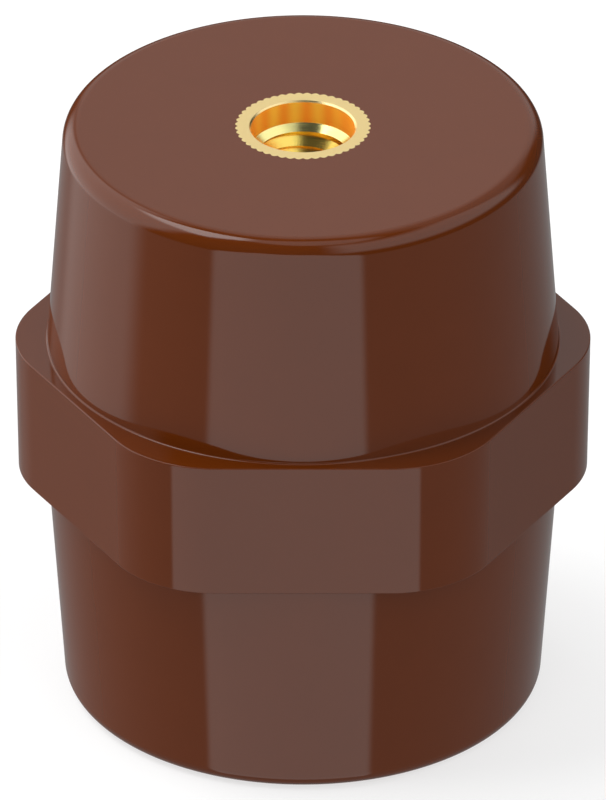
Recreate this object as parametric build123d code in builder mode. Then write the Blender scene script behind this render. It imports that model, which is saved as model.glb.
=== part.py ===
from build123d import *
from math import radians, tan
import os

# A support insulator that stands a busbar or a device off an earthed plate.
# Lengths are in mm and angles in degrees. The lower end face lies on the XY plane,
# centred on the origin, and +Z runs up the axis. One flat of the collar faces -Y.

# Moulded body: two drafted cones, foot to foot, with a six-sided collar between them
height = 65.0
cone_draft = 4.1
end_rim_radius = 1.8

# Collar for a 55 mm spanner, measured at the mould's parting line on its upper edge
collar_height = 15.0
collar_across_flats = 54.8
collar_draft = 1.0
collar_corner_radius = 12.0
collar_edge_break = 0.25
collar_ledge = 0.9

# Brass insert, measured over the crests of its straight knurl
insert_diameter = 14.0
insert_floor = 2.5
knurl_lobes = 48
knurl_depth = 0.25
knurl_groove_angle = 90.0
knurl_length = 12.0
anchor_neck_depth = 1.0
anchor_neck_length = 4.0
plain_end_step = 0.05

# Tapped hole of the insert, left at the tapping drill's size
thread_diameter = 10.0
thread_pitch = 1.5
threaded_length = 13.0
drill_point_angle = 118.0
relief_clearance = 0.35
relief_depth = 2.65
relief_floor_angle = 140.0
mouth_chamfer = 0.2

# Sizes that follow from the ones above
collar_base = (height - collar_height) / 2
collar_top = collar_base + collar_height
narrow_ledge = collar_ledge - collar_height * tan(radians(collar_draft))
foot_radius = collar_across_flats / 2 - collar_ledge
end_radius = foot_radius - collar_base * tan(radians(cone_draft))
edge_break_limit = 0.5 * narrow_ledge

crest_radius = insert_diameter / 2
valley_radius = crest_radius - knurl_depth
plain_end_radius = valley_radius - plain_end_step
anchor_neck_radius = crest_radius - anchor_neck_depth
groove_reach = 2 * knurl_depth
groove_slope = tan(radians(knurl_groove_angle / 2))
bore_radius = (thread_diameter - thread_pitch) / 2
relief_radius = thread_diameter / 2 + relief_clearance
relief_floor_depth = (relief_radius - bore_radius) / tan(radians(relief_floor_angle / 2))
bore_top = relief_depth + relief_floor_depth
bore_bottom = bore_top + threaded_length
drill_point_depth = bore_radius / tan(radians(drill_point_angle / 2))
insert_length = bore_bottom + drill_point_depth + insert_floor

# Each insert's mouth is level with an end face, and its plane looks into the body
lower_mouth = Plane.XY
upper_mouth = Plane(origin=(0, 0, height), x_dir=(1, 0, 0), z_dir=(0, 0, -1))


def knurled_blank(mouth):
    """The outer form of an insert: a knurled head, a neck to anchor it and a plain end."""
    with BuildPart() as blank:
        # The plain end, turned just under the roots of the knurl
        with BuildSketch(mouth):
            Circle(plain_end_radius)
        extrude(amount=insert_length)

        # The head, with V grooves rolled along it that leave a narrow land on each lobe
        with BuildSketch(mouth):
            RegularPolygon(crest_radius, side_count=knurl_lobes, major_radius=False)
            with PolarLocations(valley_radius, knurl_lobes):
                Polygon(
                    (0, 0),
                    (groove_reach, groove_reach * groove_slope),
                    (groove_reach, -groove_reach * groove_slope),
                    align=None,
                    mode=Mode.SUBTRACT,
                )
        extrude(amount=knurl_length)

        # The neck that the compound closes on, so that the insert can't be drawn out
        with BuildSketch(mouth.offset(knurl_length)):
            Circle(insert_diameter)
            Circle(anchor_neck_radius, mode=Mode.SUBTRACT)
        extrude(amount=anchor_neck_length, mode=Mode.SUBTRACT)
    return blank.part


def tapped_hole(mouth):
    """The space inside an insert: chamfer, thread relief with its coned floor, bore, drill point."""
    section = Plane(origin=mouth.origin, x_dir=(1, 0, 0), z_dir=mouth.y_dir * -1)
    with BuildPart() as hole:
        with BuildSketch(section):
            with BuildLine():
                Polyline(
                    (0, 0),
                    (relief_radius + mouth_chamfer, 0),
                    (relief_radius, mouth_chamfer),
                    (relief_radius, relief_depth),
                    (bore_radius, bore_top),
                    (bore_radius, bore_bottom),
                    (0, bore_bottom + drill_point_depth),
                    close=True,
                )
            make_face()
        revolve(axis=Axis(mouth.origin, mouth.z_dir))
    return hole.part


os.makedirs("parts", exist_ok=True)

# Insulator body: one compression moulding of glass-fibre polyester compound
with BuildPart() as insulator_body:
    with BuildSketch(Plane.XZ) as half_section:
        with BuildLine():
            Polyline(
                (0, 0),
                (end_radius, 0),
                (foot_radius, collar_base),
                (foot_radius, collar_top),
                (end_radius, height),
                (0, height),
                close=True,
            )
        make_face()
        end_rims = half_section.vertices().group_by(Axis.X)[1]
        fillet(end_rims, end_rim_radius)
    revolve(axis=Axis.Z)

    with BuildSketch(Plane.XY.offset(collar_top)) as collar_outline:
        RegularPolygon(collar_across_flats / 2, side_count=6, major_radius=False)
        fillet(collar_outline.vertices(), collar_corner_radius)
    extrude(amount=-collar_height, taper=collar_draft)

    # Of the four faces square to the axis, the middle two are the collar's ledges, and
    # the outline of each is broken where the flash is trimmed
    ledges = insulator_body.faces().filter_by(Axis.Z).sort_by(Axis.Z)[1:3]
    ledge_outlines = [ledge.outer_wire().edges() for ledge in ledges]
    chamfer(ledge_outlines[0] + ledge_outlines[1], min(collar_edge_break, edge_break_limit))

    # The compound closes round both inserts, so each pocket is the insert's own form
    add(knurled_blank(lower_mouth), mode=Mode.SUBTRACT)
    add(knurled_blank(upper_mouth), mode=Mode.SUBTRACT)
insulator_body.part.label = "insulator_body"
export_step(insulator_body.part, "parts/insulator_body.step")

# Two like inserts of turned and knurled brass, moulded in with their mouths level with the faces
with BuildPart() as lower_insert:
    add(knurled_blank(lower_mouth))
    add(tapped_hole(lower_mouth), mode=Mode.SUBTRACT)
lower_insert.part.label = "lower_insert"
export_step(lower_insert.part, "parts/lower_insert.step")

with BuildPart() as upper_insert:
    add(knurled_blank(upper_mouth))
    add(tapped_hole(upper_mouth), mode=Mode.SUBTRACT)
upper_insert.part.label = "upper_insert"
export_step(upper_insert.part, "parts/upper_insert.step")
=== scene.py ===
from math import cos, pi, radians, sin, tan, tau

import bpy
from mathutils import Matrix, Vector


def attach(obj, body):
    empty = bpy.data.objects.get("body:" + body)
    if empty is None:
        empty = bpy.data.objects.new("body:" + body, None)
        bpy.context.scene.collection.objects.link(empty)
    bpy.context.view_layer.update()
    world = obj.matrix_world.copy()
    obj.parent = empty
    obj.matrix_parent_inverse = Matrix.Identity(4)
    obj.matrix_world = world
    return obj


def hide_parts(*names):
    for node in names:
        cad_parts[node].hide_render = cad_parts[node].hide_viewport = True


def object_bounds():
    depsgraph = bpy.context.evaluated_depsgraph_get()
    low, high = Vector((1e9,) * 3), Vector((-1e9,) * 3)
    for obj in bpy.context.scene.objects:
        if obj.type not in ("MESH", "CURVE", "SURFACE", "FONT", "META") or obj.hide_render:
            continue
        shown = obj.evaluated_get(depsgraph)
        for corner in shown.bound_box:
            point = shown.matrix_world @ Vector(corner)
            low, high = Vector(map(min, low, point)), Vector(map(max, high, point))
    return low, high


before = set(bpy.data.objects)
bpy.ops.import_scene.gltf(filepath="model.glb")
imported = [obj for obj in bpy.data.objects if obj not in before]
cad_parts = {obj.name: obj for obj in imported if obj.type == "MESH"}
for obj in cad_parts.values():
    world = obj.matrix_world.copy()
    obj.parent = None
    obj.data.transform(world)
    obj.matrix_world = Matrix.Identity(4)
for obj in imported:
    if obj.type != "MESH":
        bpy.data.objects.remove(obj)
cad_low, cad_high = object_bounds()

# Insulator body: one compression moulding of red-brown glass-fibre polyester compound, glossy
# from its polished mould. Two drafted cones stand foot to foot, with a six-sided collar for a
# spanner between them, and the compound closes round a brass insert in each end.
mm = 0.001
height = cad_high.z - cad_low.z
foot_radius = 26.5 * mm
cone_draft = 4.1
end_rim_radius = 1.8 * mm
root_radius = 0.2 * mm

collar_height = 15.0 * mm
collar_apothem = 27.4 * mm
collar_draft = 1.0
collar_corner_radius = 12.0 * mm
collar_edge_radius = 0.1 * mm
collar_base = (height - collar_height) / 2

# The pockets in the body have the form of the inserts' knurled heads, necks and plain ends
knurl_lobes = 48
knurl_depth = 0.25 * mm
knurl_length = 12.0 * mm
crest_radius = 7.0 * mm
valley_radius = crest_radius - knurl_depth
anchor_neck_depth = 1.0 * mm
anchor_neck_radius = crest_radius - anchor_neck_depth
anchor_neck_length = 4.0 * mm
plain_end_step = 0.05 * mm
plain_end_radius = valley_radius - plain_end_step
insert_length = 21.1 * mm

# A station this close to each rounding keeps the shading of the face beside it level, and one
# stands this far out from each pocket's mouth
guard = 0.06 * mm
mouth_margin = 0.3 * mm
rim_steps = 24
edge_steps = 5
steps_per_lobe = 12
merge_distance = 1e-7
crease_angle = 24.0


def live(sockets, name):
    """The node's socket in use that has this name or identifier, or its first one."""
    return next(s for s in sockets if s.enabled and name in (None, s.name, s.identifier))


class Signal:
    """A socket of a node tree. Sums on it add Math nodes, and node() adds any other node."""

    def __init__(self, tree, socket=None):
        self.tree = tree
        self.socket = socket

    def node(self, kind, settings=None, values=None, output=None):
        """One output of a new node, with its settings made before its sockets' values or links."""
        made = self.tree.nodes.new(kind)
        for name, setting in (settings or {}).items():
            if name == "stops":
                for place, colour in setting[2:]:
                    made.color_ramp.elements.new(place)
                for stop, (place, colour) in zip(made.color_ramp.elements, setting):
                    stop.position = place
                    stop.color = colour
            else:
                setattr(made, name, setting)
        for name, value in (values or {}).items():
            if isinstance(value, Signal):
                self.tree.links.new(value.socket, live(made.inputs, name))
            else:
                live(made.inputs, name).default_value = value
        return Signal(self.tree, live(made.outputs, output) if made.outputs else None)

    def other(self, output):
        """Another output of the same node."""
        return Signal(self.tree, live(self.socket.node.outputs, output))

    def math(self, operation, *values):
        names = ("Value", "Value_001")
        return self.node("ShaderNodeMath", {"operation": operation}, dict(zip(names, values)))

    def __add__(self, other):
        return self.math("ADD", self, other)

    def __radd__(self, other):
        return self.math("ADD", other, self)

    def __sub__(self, other):
        return self.math("SUBTRACT", self, other)

    def __rsub__(self, other):
        return self.math("SUBTRACT", other, self)

    def __mul__(self, other):
        return self.math("MULTIPLY", self, other)

    def __rmul__(self, other):
        return self.math("MULTIPLY", other, self)

    def __truediv__(self, other):
        return self.math("DIVIDE", self, other)

    def __rtruediv__(self, other):
        return self.math("DIVIDE", other, self)

    def __mod__(self, other):
        return self.math("FLOORED_MODULO", self, other)

    def __abs__(self):
        return self.math("ABSOLUTE", self)

    def __lt__(self, other):
        return self.math("LESS_THAN", self, other)

    def __gt__(self, other):
        return self.math("GREATER_THAN", self, other)

    def sine(self):
        return self.math("SINE", self)

    def cosine(self):
        return self.math("COSINE", self)

    def arctangent(self):
        return self.math("ARCTANGENT", self)

    def root(self):
        return self.math("SQRT", self)

    def floor(self):
        return self.math("FLOOR", self)


def geometry_tree(name, sizes):
    """A Geometry Nodes tree that takes a mesh and the named sizes, and its inputs as signals."""
    tree = bpy.data.node_groups.new(name, "GeometryNodeTree")
    tree.interface.new_socket("Geometry", in_out="INPUT", socket_type="NodeSocketGeometry")
    for size, kind in sizes.items():
        tree.interface.new_socket(size, in_out="INPUT", socket_type=kind)
    tree.interface.new_socket("Geometry", in_out="OUTPUT", socket_type="NodeSocketGeometry")
    inputs = Signal(tree).node("NodeGroupInput")
    return tree, {socket: inputs.other(socket) for socket in ("Geometry", *sizes)}


def finish_tree(geometry, finish):
    """Ends a tree: the geometry is made real, gets its finish and goes to the output."""
    realised = geometry.node("GeometryNodeRealizeInstances", {}, {"Geometry": geometry})
    finished = realised.node(
        "GeometryNodeSetMaterial", {}, {"Geometry": realised, "Material": finish}
    )
    finished.node("NodeGroupOutput", {}, {"Geometry": finished})


def grown(piece, tree, values):
    """Gives the piece the plain mesh that the tree makes of its own with these values."""
    modifier = piece.modifiers.new(tree.name, "NODES")
    modifier.node_group = tree
    for item in tree.interface.items_tree:
        if item.in_out == "INPUT" and item.name in values:
            modifier[item.identifier] = values[item.name]
    evaluated = piece.evaluated_get(bpy.context.evaluated_depsgraph_get())
    mesh = bpy.data.meshes.new_from_object(evaluated)
    piece.modifiers.remove(modifier)
    piece.data = mesh
    mesh.name = piece.name


# The turning tree: a half section, drawn as a line of stations, is repeated round the axis.
# A station of the collar follows a hexagon with rounded corners instead of a circle, and its
# radius is then the half width over the flats. A station of the knurl swells into lobes.
turning, given = geometry_tree("turning", {
    "Steps": "NodeSocketInt",
    "Corner radius": "NodeSocketFloat",
    "Widest apothem": "NodeSocketFloat",
    "Lobes": "NodeSocketInt",
    "Lobe height": "NodeSocketFloat",
    "Finish": "NodeSocketMaterial",
})
section = given["Geometry"]
stations = section.node(
    "GeometryNodeAttributeDomainSize", {"component": "MESH"}, {"Geometry": section}
)
grid = section.node(
    "GeometryNodeMeshGrid", {}, {"Vertices X": given["Steps"] + 1, "Vertices Y": stations}
)
index = section.node("GeometryNodeInputIndex")
turn = (index / stations).floor() / given["Steps"] * tau
own_station = index % stations


def at_station(kind, value):
    """A value of the section's mesh, read at the station that the grid's point stands for."""
    return section.node(
        "GeometryNodeSampleIndex",
        {"data_type": kind, "domain": "POINT"},
        {"Geometry": section, "Value": value, "Index": own_station},
    )


def mark(name):
    """A named mark of the section's stations: 1 where it holds and 0 elsewhere."""
    return at_station("FLOAT", section.node(
        "GeometryNodeInputNamedAttribute", {"data_type": "FLOAT"}, {"Name": name}, "Attribute"
    ))


place = at_station("FLOAT_VECTOR", section.node("GeometryNodeInputPosition"))
place = place.node("ShaderNodeSeparateXYZ", {}, {"Vector": place})
radius = place.other("X")

# The collar's outline at this turn is straight on a flat and an arc round a corner. A corner's
# radius shrinks with the draft, so that its arcs have one centre at every height.
side = tau / 6
off_flat = abs(turn % side - side / 2)
off_corner = side / 2 - off_flat
corner_radius = given["Corner radius"] - (given["Widest apothem"] - radius)
corner_centre = (radius - corner_radius) / cos(side / 2)
chord = corner_centre * off_corner.sine()
round_corner = corner_centre * off_corner.cosine() + (
    corner_radius * corner_radius - chord * chord
).root()
flat_end = ((radius - corner_radius) * tan(side / 2) / radius).arctangent()
on_flat = off_flat < flat_end
hexagon = on_flat * (radius / off_flat.cosine()) + (1 - on_flat) * round_corner

# A lobe of the knurl has a round crest, and meets the next one in a sharp valley
lobe = given["Lobe height"] * abs((turn * given["Lobes"] / 2).sine())
reach = radius + mark("collar") * (hexagon - radius) + mark("knurl") * lobe

turned = section.node("GeometryNodeSetPosition", {}, {
    "Geometry": grid,
    "Position": section.node("ShaderNodeCombineXYZ", {}, {
        "X": reach * turn.cosine(),
        "Y": reach * turn.sine(),
        "Z": place.other("Z"),
    }),
})
closed = turned.node(
    "GeometryNodeMergeByDistance", {}, {"Geometry": turned, "Distance": merge_distance}
)
finish_tree(closed, given["Finish"])


def arc(centre_radius, centre_z, radius, start, end, steps, shape="round"):
    """Stations along an arc of the section, from one angle to another, in degrees."""
    angles = [radians(start + (end - start) * i / steps) for i in range(steps + 1)]
    return [
        (centre_radius + radius * cos(a), centre_z + radius * sin(a), shape) for a in angles
    ]


def turned_piece(name, section_line, finish):
    """A closed piece in this finish, which the turning tree makes of its half section."""
    mesh = bpy.data.meshes.new(name)
    mesh.from_pydata(
        [(r, 0, z) for r, z, shape in section_line],
        [(i, i + 1) for i in range(len(section_line) - 1)],
        [],
    )
    for shape in ("collar", "knurl"):
        marks = mesh.attributes.new(shape, "FLOAT", "POINT")
        marks.data.foreach_set("value", [float(s == shape) for r, z, s in section_line])
    piece = bpy.data.objects.new(name, mesh)
    bpy.context.scene.collection.objects.link(piece)
    grown(piece, turning, {
        "Steps": steps_per_lobe * knurl_lobes,
        "Corner radius": collar_corner_radius,
        "Widest apothem": collar_apothem,
        "Lobes": knurl_lobes,
        "Lobe height": knurl_depth,
        "Finish": finish,
    })
    return piece


def smooth(piece):
    """Shades the piece smooth, apart from the edges that turn by more than the crease angle."""
    piece.data.shade_smooth()
    piece.data.set_sharp_from_angle(angle=radians(crease_angle))


def material(name):
    """A new material with its shader, and a signal to build its nodes on."""
    made = bpy.data.materials.new(name)
    made.use_nodes = True
    shader = made.node_tree.nodes["Principled BSDF"]
    return made, shader, Signal(made.node_tree)


def feed(shader, signals):
    """Links each signal to the shader's socket of that name."""
    for name, signal in signals.items():
        signal.tree.links.new(signal.socket, shader.inputs[name])


# The compound's pigment is even, with a faint mottle, and the skin is glossy with a slight
# haze and a slight ripple that the mould's polish leaves. Scales are in spots to the metre.
dark_pigment = (0.104, 0.0203, 0.0019, 1)
light_pigment = (0.112, 0.0221, 0.0024, 1)
mottle_scale = 260.0
haze_scale = 90.0
ripple_scale = 700.0
ripple_strength = 0.05
ripple_height = 0.02 * mm
glossy_roughness = 0.05
haze_roughness = 0.04
refractive_index = 1.5

polyester, shader, paint = material("moulded_polyester")
own = paint.node("ShaderNodeTexCoord", {}, {}, "Object")


def spots(scale, detail):
    """Soft spots of this scale on the piece, from 0 to 1."""
    return paint.node("ShaderNodeTexNoise", {}, {"Vector": own, "Scale": scale, "Detail": detail})


pigment = paint.node("ShaderNodeMix", {"data_type": "RGBA"}, {
    "Factor": spots(mottle_scale, detail=4.0),
    "A": dark_pigment,
    "B": light_pigment,
})
skin = paint.node("ShaderNodeBump", {}, {
    "Strength": ripple_strength,
    "Distance": ripple_height,
    "Height": spots(ripple_scale, detail=1.0),
})
feed(shader, {
    "Base Color": pigment,
    "Roughness": glossy_roughness + spots(haze_scale, detail=3.0) * haze_roughness,
    "Normal": skin,
})
shader.inputs["IOR"].default_value = refractive_index


def insert_wall(mouth_z, inwards):
    """Stations of an insert's outside, from its mouth to the axis, as it goes into the body."""
    neck_end = knurl_length + anchor_neck_length
    line = [
        (valley_radius, 0, "knurl"),
        (valley_radius, knurl_length, "knurl"),
        (anchor_neck_radius, knurl_length, "round"),
        (anchor_neck_radius, neck_end, "round"),
        (plain_end_radius, neck_end, "round"),
        (plain_end_radius, insert_length, "round"),
        (0, insert_length, "round"),
    ]
    return [(r, mouth_z + inwards * depth, shape) for r, depth, shape in line]


# The half section runs from the lower pocket out over the lower half and the collar, and back
# in over the upper half to the upper pocket. The collar is widest at its upper edge, where the
# mould parts.
slope = radians(cone_draft)
end_radius = foot_radius - collar_base * tan(slope)
rim_centre = end_radius - end_rim_radius * tan(pi / 4 - slope / 2)
root_centre = foot_radius + root_radius * tan(pi / 4 - slope / 2)
lower_apothem = collar_apothem - collar_height * tan(radians(collar_draft))


def cone_half(apothem):
    """Stations of one end face and cone, for a mouth at z 0, up to the edge of the collar."""
    flat = [(crest_radius + mouth_margin, 0, "round"), (rim_centre - guard, 0, "round")]
    rim = arc(rim_centre, end_rim_radius, end_rim_radius, -90, -cone_draft, rim_steps)
    root = arc(
        root_centre, collar_base - root_radius, root_radius, 180 - cone_draft, 90, edge_steps
    )
    cone = [
        (rim[-1][0] + guard * tan(slope), rim[-1][1] + guard, "round"),
        (root[0][0] - guard * tan(slope), root[0][1] - guard, "round"),
    ]
    edge_centre = apothem - collar_edge_radius
    edge_z = collar_base + collar_edge_radius
    ledge = [
        (root[-1][0] + guard, collar_base, "round"),
        (edge_centre - guard, collar_base, "collar"),
    ]
    edge = arc(edge_centre, edge_z, collar_edge_radius, -90, 0, edge_steps, "collar")
    face = [(edge[-1][0], edge[-1][1] + guard, "collar")]
    return flat + rim + cone + root + ledge + edge + face


lower_half = cone_half(lower_apothem)
upper_half = [(r, height - z, shape) for r, z, shape in cone_half(collar_apothem)]
body_line = (
    insert_wall(0, 1)[::-1] + lower_half + upper_half[::-1] + insert_wall(height, -1)
)
body = turned_piece("moulded_body", body_line, polyester)
smooth(body)
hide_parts("insulator_body")
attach(body, "root")

# Brass inserts: two like pieces, turned from brass bar, rolled with a straight knurl, drilled
# and tapped M10, with a thread relief at the mouth. They stand in the mould while the compound
# closes round them, so the knurl and the neck behind it hold them against turning and pulling.
mouth_chamfer = 0.2 * mm
relief_radius = 5.35 * mm
relief_depth = 2.58 * mm
pilot_radius = 4.65 * mm
pilot_top = 3.27 * mm
pilot_bottom = 3.9 * mm
bore_radius = 4.33 * mm
bore_top = pilot_bottom + pilot_radius - bore_radius
bore_bottom = 16.05 * mm
drill_point_angle = 118.0
drill_point = bore_bottom + bore_radius / tan(radians(drill_point_angle / 2))

# The thread's groove starts in the open relief and ends above the bottom of the bore. Its
# cutter reaches from the groove's root to just inside the bore, and its flanks slope away from
# level by these angles, in degrees.
thread_radius = 5.0 * mm
thread_pitch = 1.5 * mm
thread_top = 1.265 * mm
thread_turns = 9.0
steps_per_turn = 96
half_root = 0.01 * mm
cutter_depth = 0.675 * mm
upper_flank = 39.0
lower_flank = 53.0

# The tapping tree: the groove is swept along a right-hand helix and cut from the bore
tapping, given = geometry_tree("tapping", {
    "Pitch": "NodeSocketFloat",
    "Turns": "NodeSocketFloat",
    "Groove radius": "NodeSocketFloat",
    "Cutter depth": "NodeSocketFloat",
    "Half root": "NodeSocketFloat",
    "Upper slope": "NodeSocketFloat",
    "Lower slope": "NodeSocketFloat",
    "First turn": "NodeSocketFloat",
    "Steps": "NodeSocketInt",
    "Finish": "NodeSocketMaterial",
})
blank = given["Geometry"]
helix_height = given["Pitch"] * given["Turns"]
helix = blank.node("GeometryNodeCurveSpiral", {}, {
    "Resolution": given["Steps"],
    "Rotations": given["Turns"],
    "Start Radius": given["Groove radius"],
    "End Radius": given["Groove radius"],
    "Height": helix_height,
    "Reverse": True,
})
helix = helix.node("GeometryNodeSetCurveNormal", {"mode": "Z_UP"}, {"Curve": helix})

# The groove's profile, whose X points outwards and whose Y points down once it is swept
inwards = -1 * given["Cutter depth"]
corners = {
    "Point 1": (0, -1 * given["Half root"]),
    "Point 2": (0, given["Half root"]),
    "Point 3": (inwards, given["Half root"] - inwards * given["Lower slope"]),
    "Point 4": (inwards, inwards * given["Upper slope"] - given["Half root"]),
}
groove = blank.node("GeometryNodeCurvePrimitiveQuadrilateral", {"mode": "POINTS"}, {
    point: blank.node("ShaderNodeCombineXYZ", {}, {"X": x, "Y": y})
    for point, (x, y) in corners.items()
})
cutter = blank.node(
    "GeometryNodeCurveToMesh", {}, {"Curve": helix, "Profile Curve": groove, "Fill Caps": True}
)
cutter = blank.node("GeometryNodeTransform", {}, {
    "Geometry": cutter,
    "Translation": blank.node("ShaderNodeCombineXYZ", {}, {
        "Z": given["First turn"] - helix_height,
    }),
})
tapped = blank.node("GeometryNodeMeshBoolean", {"operation": "DIFFERENCE", "solver": "EXACT"}, {
    "Mesh 1": blank,
    "Mesh 2": cutter,
})
finish_tree(tapped, given["Finish"])

# The brass is sanded matt on the end face and bright where it was bored, with the fine rings
# that the tools leave. On the relief's wall, light that goes from brass to brass turns a deep
# orange in soft streaks, so the wall is painted that way, as a nearly matt surface.
face_brass = (1.0, 0.80, 0.39, 1)
# Painted light: the wall's orange stands for light bounced from brass to brass, and the darker
# orange below it is the painted shade between its streaks
wall_bounce_orange = (1.0, 0.58, 0.06, 1)
shadow_brass = (0.95, 0.34, 0.03, 1)
floor_brass = (1.0, 0.91, 0.37, 1)
# Partly painted light: the thread's brass is deepened to stand for light bounced from brass to
# brass
thread_brass_and_bounce = (1.0, 0.76, 0.17, 1)

sanded_roughness = 0.5
turned_roughness = 0.2
wall_roughness = 0.35
floor_roughness = 0.12
wall_metal = 0.05
wall_specular = 0.1

# The rings lie a pitch apart down the hole, and further apart across the end face
ring_pitch = 0.08 * mm
ring_share_across = 0.37
ring_strength = 0.15
ring_height = 0.02 * mm
ring_roughness = 0.05

# Depths below the end face where one finish ends and where the next one starts
sanding_end = 0.02 * mm
chamfer_start = 0.06 * mm
chamfer_end = mouth_chamfer - 0.05 * mm
wall_colour_start = mouth_chamfer + 0.05 * mm
wall_gloss_start = mouth_chamfer + 0.1 * mm
wall_end = relief_depth - 0.03 * mm
floor_start = relief_depth + 0.02 * mm
floor_end = pilot_top - 0.03 * mm
thread_colour_start = pilot_top + 0.03 * mm
thread_gloss_start = pilot_top + 0.23 * mm
deepest = 5.0 * mm

brass, shader, paint = material("insert_brass")
own = paint.node("ShaderNodeTexCoord", {}, {}, "Object")
own = paint.node("ShaderNodeSeparateXYZ", {}, {"Vector": own})
depth = height / 2 - abs(own.other("Z") - height / 2)
off_axis = (own.other("X") * own.other("X") + own.other("Y") * own.other("Y")).root()
angle = paint.math("ARCTAN2", own.other("X"), own.other("Y"))


def down_the_hole(values):
    """A colour ramp over the depth below the end face, from stops of depth and colour."""
    stops = [(place / deepest, colour) for place, colour in values]
    return paint.node("ShaderNodeValToRGB", {"stops": stops}, {"Fac": depth / deepest})


def grey(level):
    """A grey of this level. In a colour ramp it stands for a number."""
    return (level, level, level, 1)


def wave(count, turned_by):
    """Soft waves round the axis, from 0 to 1: how many, and turned by how many degrees."""
    return 0.5 + 0.5 * (count * angle + radians(turned_by)).cosine()


colour = down_the_hole([
    (0.0, face_brass),
    (chamfer_end, face_brass),
    (wall_colour_start, wall_bounce_orange),
    (wall_end, wall_bounce_orange),
    (floor_start, floor_brass),
    (floor_end, floor_brass),
    (thread_colour_start, thread_brass_and_bounce),
])
# Painted light and shade: bright streaks down the relief's wall, with painted shade between them
painted_light_streaks = wave(count=2, turned_by=20) * wave(count=14, turned_by=-238)
on_wall = (depth > mouth_chamfer) * (depth < relief_depth)
colour = paint.node("ShaderNodeMix", {"data_type": "RGBA"}, {
    "Factor": on_wall * (1 - painted_light_streaks),
    "A": colour,
    "B": shadow_brass,
})
gloss = down_the_hole([
    (0.0, grey(sanded_roughness)),
    (sanding_end, grey(sanded_roughness)),
    (chamfer_start, grey(turned_roughness)),
    (chamfer_end, grey(turned_roughness)),
    (wall_gloss_start, grey(wall_roughness)),
    (wall_end, grey(wall_roughness)),
    (floor_start, grey(floor_roughness)),
    (floor_end, grey(floor_roughness)),
    (thread_gloss_start, grey(turned_roughness)),
])
metal = down_the_hole([
    (0.0, grey(1)),
    (chamfer_end, grey(1)),
    (wall_gloss_start, grey(wall_metal)),
    (wall_end, grey(wall_metal)),
    (floor_start, grey(1)),
])
rings = paint.node("ShaderNodeTexNoise", {"noise_dimensions": "1D"}, {
    "W": (ring_share_across * off_axis + depth) / ring_pitch,
    "Detail": 2.0,
})
cut = paint.node("ShaderNodeBump", {}, {
    "Strength": ring_strength,
    "Distance": ring_height,
    "Height": rings,
})
feed(shader, {
    "Base Color": colour,
    "Roughness": gloss + rings * ring_roughness,
    "Metallic": metal,
    "Normal": cut,
})
shader.inputs["Specular IOR Level"].default_value = wall_specular

hole = [
    (relief_radius + mouth_chamfer, 0, "round"),
    (relief_radius, mouth_chamfer, "round"),
    (relief_radius, relief_depth, "round"),
    (pilot_radius, pilot_top, "round"),
    (pilot_radius, pilot_bottom, "round"),
    (bore_radius, bore_top, "round"),
    (bore_radius, bore_bottom, "round"),
    (0, drill_point, "round"),
]
insert_line = insert_wall(height, -1)[::-1] + [(r, height - z, shape) for r, z, shape in hole]
upper_insert = turned_piece("upper_brass_insert", insert_line, brass)
grown(upper_insert, tapping, {
    "Pitch": thread_pitch,
    "Turns": thread_turns,
    "Groove radius": thread_radius,
    "Cutter depth": cutter_depth,
    "Half root": half_root,
    "Upper slope": tan(radians(upper_flank)),
    "Lower slope": tan(radians(lower_flank)),
    "First turn": height - thread_top,
    "Steps": steps_per_turn,
    "Finish": brass,
})
smooth(upper_insert)

# The lower insert is the upper one turned over, so its thread is right-hand as well
turned_over = upper_insert.data.copy()
turned_over.name = "lower_brass_insert"
turned_over.transform(
    Matrix.Translation((0, 0, height)) @ Matrix.Rotation(pi, 4, "X")
)
lower_insert = bpy.data.objects.new("lower_brass_insert", turned_over)
bpy.context.scene.collection.objects.link(lower_insert)
for insert, node in ((upper_insert, "upper_insert"), (lower_insert, "lower_insert")):
    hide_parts(node)
    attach(insert, "root")

# Studio: the photograph's viewpoint, a pale floor, and soft panels round the object, which
# light it and show in its gloss. The camera sees a plain white background.
focal_length = 1164.4
camera_elevation = 29.934
camera_distance = 2683.4 * mm
aim_aside = 0.005 * mm
aim_below_middle = 0.093 * mm
farthest_seen = 100.0


def toward(azimuth, elevation):
    """A direction from two angles in degrees. Azimuth 0 is the camera's side, and 90 its right."""
    level = cos(radians(elevation))
    return Vector((
        sin(radians(azimuth)) * level, -cos(radians(azimuth)) * level, sin(radians(elevation))
    ))


scene = bpy.context.scene
scene.view_settings.view_transform = "Standard"
lens = bpy.data.cameras.new("camera")
lens.lens = focal_length
lens.clip_end = farthest_seen
camera = bpy.data.objects.new("camera", lens)
scene.collection.objects.link(camera)
scene.camera = camera
aim = Vector((aim_aside, 0, height / 2 - aim_below_middle))
camera.location = aim + camera_distance * toward(0, camera_elevation)
camera.rotation_euler = (pi / 2 - radians(camera_elevation), 0, 0)

# The world is painted by a ray's direction, in degrees round from the camera's side and up
studio = bpy.data.worlds.new("studio")
scene.world = studio
studio.use_nodes = True
studio.node_tree.nodes.clear()
air = Signal(studio.node_tree)
sky = air.node("ShaderNodeTexCoord", {}, {}, "Generated")
ray = sky.node("ShaderNodeSeparateXYZ", {}, {"Vector": sky})
azimuth = air.math("ARCTAN2", ray.other("X"), -1 * ray.other("Y")) * (180 / pi)
elevation = air.math("ARCSINE", ray.other("Z")) * (180 / pi)


def ramp(value, start, end):
    """Smoothly from 0 where the value is at its start to 1 at its end."""
    return value.node(
        "ShaderNodeMapRange",
        {"interpolation_type": "SMOOTHSTEP"},
        {"Value": value, "From Min": start, "From Max": end},
        "Result",
    )


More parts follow.
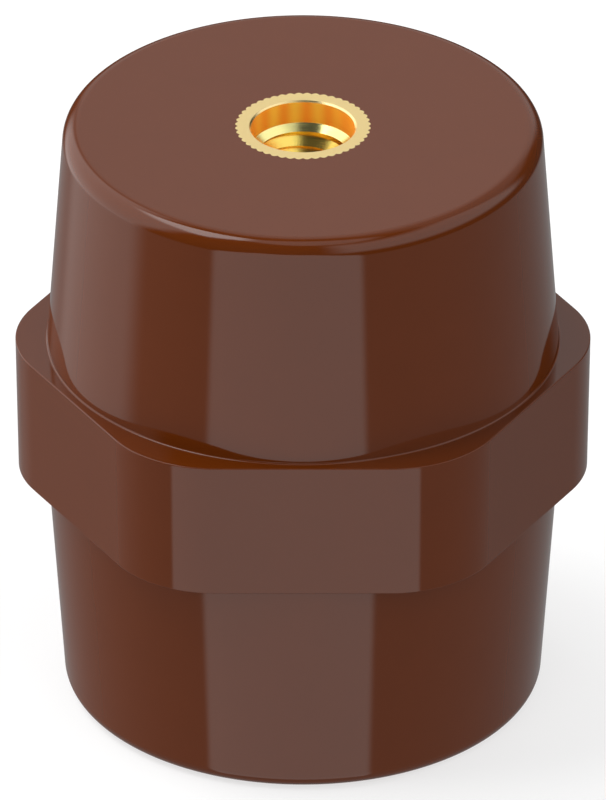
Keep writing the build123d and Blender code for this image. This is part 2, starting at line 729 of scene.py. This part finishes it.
def panel(facing, half_width, lowest, highest, side_blur, end_blur):
    """How much of a soft panel stands in the ray's way, from the angles of its middle and edges."""
    aside = abs((azimuth - facing + 180) % 360 - 180)
    across = 1 - ramp(aside - half_width, -side_blur, side_blur)
    above = ramp(elevation, lowest - end_blur, lowest + end_blur)
    below = 1 - ramp(elevation, highest - end_blur, highest + end_blur)
    return across * above * below


def tapered(half_width, at_elevation, growth):
    """A panel's half width, given at one elevation, which grows with each degree above it."""
    return half_width + growth * (elevation - at_elevation)


# The card narrows upwards, faster at its top, and the window narrows downwards. The ceiling's
# panel is round, nearly overhead, and soft at its edge.
card_half_width = air.math(
    "MINIMUM",
    tapered(38, at_elevation=-30, growth=-0.375),
    tapered(15.5, at_elevation=2, growth=-1),
)
window_half_width = air.math("MINIMUM", tapered(43, at_elevation=10, growth=0.4), 46.0)
ceiling_edge = cos(radians(19))
ceiling_full = cos(radians(12))
near_ceiling = air.node(
    "ShaderNodeVectorMath",
    {"operation": "DOT_PRODUCT"},
    {"Vector": sky, "Vector_001": toward(20, 83)},
)

# The room is dim, with a brighter ground below. Each panel has how bright it shows in a gloss,
# and how strongly it lights a matt surface. In turn: over the camera, for matt surfaces alone;
# the card in front; the screen at the right; the window at the left; the screen behind; the
# strip overhead at the left; the small screen behind at the right; and the ceiling.
room_shine = 0.05
room_light = 0.07
ground_shine = 0.24
ground_light = 0.33
ground = 1 - ramp(elevation, -22, -17)
shine = room_shine + ground_shine * ground
light = room_light + ground_light * ground
panels = [
    (room_shine, 1.30, panel(-8, 40, lowest=8, highest=35, side_blur=5, end_blur=5)),
    (1.18, 1.05, panel(-7.3, card_half_width, lowest=-60, highest=5, side_blur=2, end_blur=3)),
    (1.03, 1.40, panel(67, 51, lowest=6, highest=60, side_blur=9, end_blur=9)),
    (1.32, 2.36, panel(-113, window_half_width, lowest=-25, highest=56, side_blur=7, end_blur=7)),
    (0.64, 1.12, panel(174, 22, lowest=6, highest=62, side_blur=7, end_blur=8)),
    (4.00, 5.40, panel(-94, 34, lowest=52, highest=79, side_blur=6, end_blur=4)),
    (0.40, 0.50, panel(140, 22, lowest=30, highest=68, side_blur=8, end_blur=8)),
    (0.85, 1.20, ramp(near_ceiling, ceiling_edge, ceiling_full)),
]
for gloss_strength, matt_strength, mask in panels:
    shine = shine + mask * (gloss_strength - shine)
    light = light + mask * (matt_strength - light)

paths = air.node("ShaderNodeLightPath", {}, {}, "Is Camera Ray")
level = light + paths.other("Is Glossy Ray") * (shine - light)
lit = air.node("ShaderNodeBackground", {}, {"Color": level, "Strength": 1.0})
backdrop = air.node("ShaderNodeBackground", {}, {"Color": grey(1), "Strength": 1.0})
seen = air.node("ShaderNodeMixShader", {}, {"Fac": paths, "Shader": lit, "Shader_001": backdrop})
seen.node("ShaderNodeOutputWorld", {}, {"Surface": seen})

# The floor is white to the camera apart from the object's soft shadow, and is open from below.
# Its matt share catches the shadow, and the rest of its white is its own.
matt_share = 0.35
floor_finish = bpy.data.materials.new("pale_floor")
floor_finish.use_nodes = True
floor_finish.node_tree.nodes.clear()
paint = Signal(floor_finish.node_tree)
matt = paint.node("ShaderNodeBsdfDiffuse", {}, {"Color": grey(matt_share)})
bright = paint.node("ShaderNodeEmission", {}, {"Color": grey(1), "Strength": 1 - matt_share})
white = paint.node("ShaderNodeAddShader", {}, {"Shader": matt, "Shader_001": bright})
clear = paint.node("ShaderNodeBsdfTransparent")
back = paint.node("ShaderNodeNewGeometry", {}, {}, "Backfacing")
open_below = paint.node(
    "ShaderNodeMixShader", {}, {"Fac": back, "Shader": white, "Shader_001": clear}
)
open_below.node("ShaderNodeOutputMaterial", {}, {"Surface": open_below})

floor_reach = 3.0
floor_level = -0.02 * mm
floor_corners = [(-1, -1), (1, -1), (1, 1), (-1, 1)]
floor_mesh = bpy.data.meshes.new("floor")
floor_mesh.from_pydata(
    [(x * floor_reach, y * floor_reach, floor_level) for x, y in floor_corners],
    [],
    [(0, 1, 2, 3)],
)
floor_mesh.materials.append(floor_finish)
floor = bpy.data.objects.new("floor", floor_mesh)
scene.collection.objects.link(floor)
floor.visible_glossy = False
floor.visible_diffuse = False
floor.visible_shadow = False
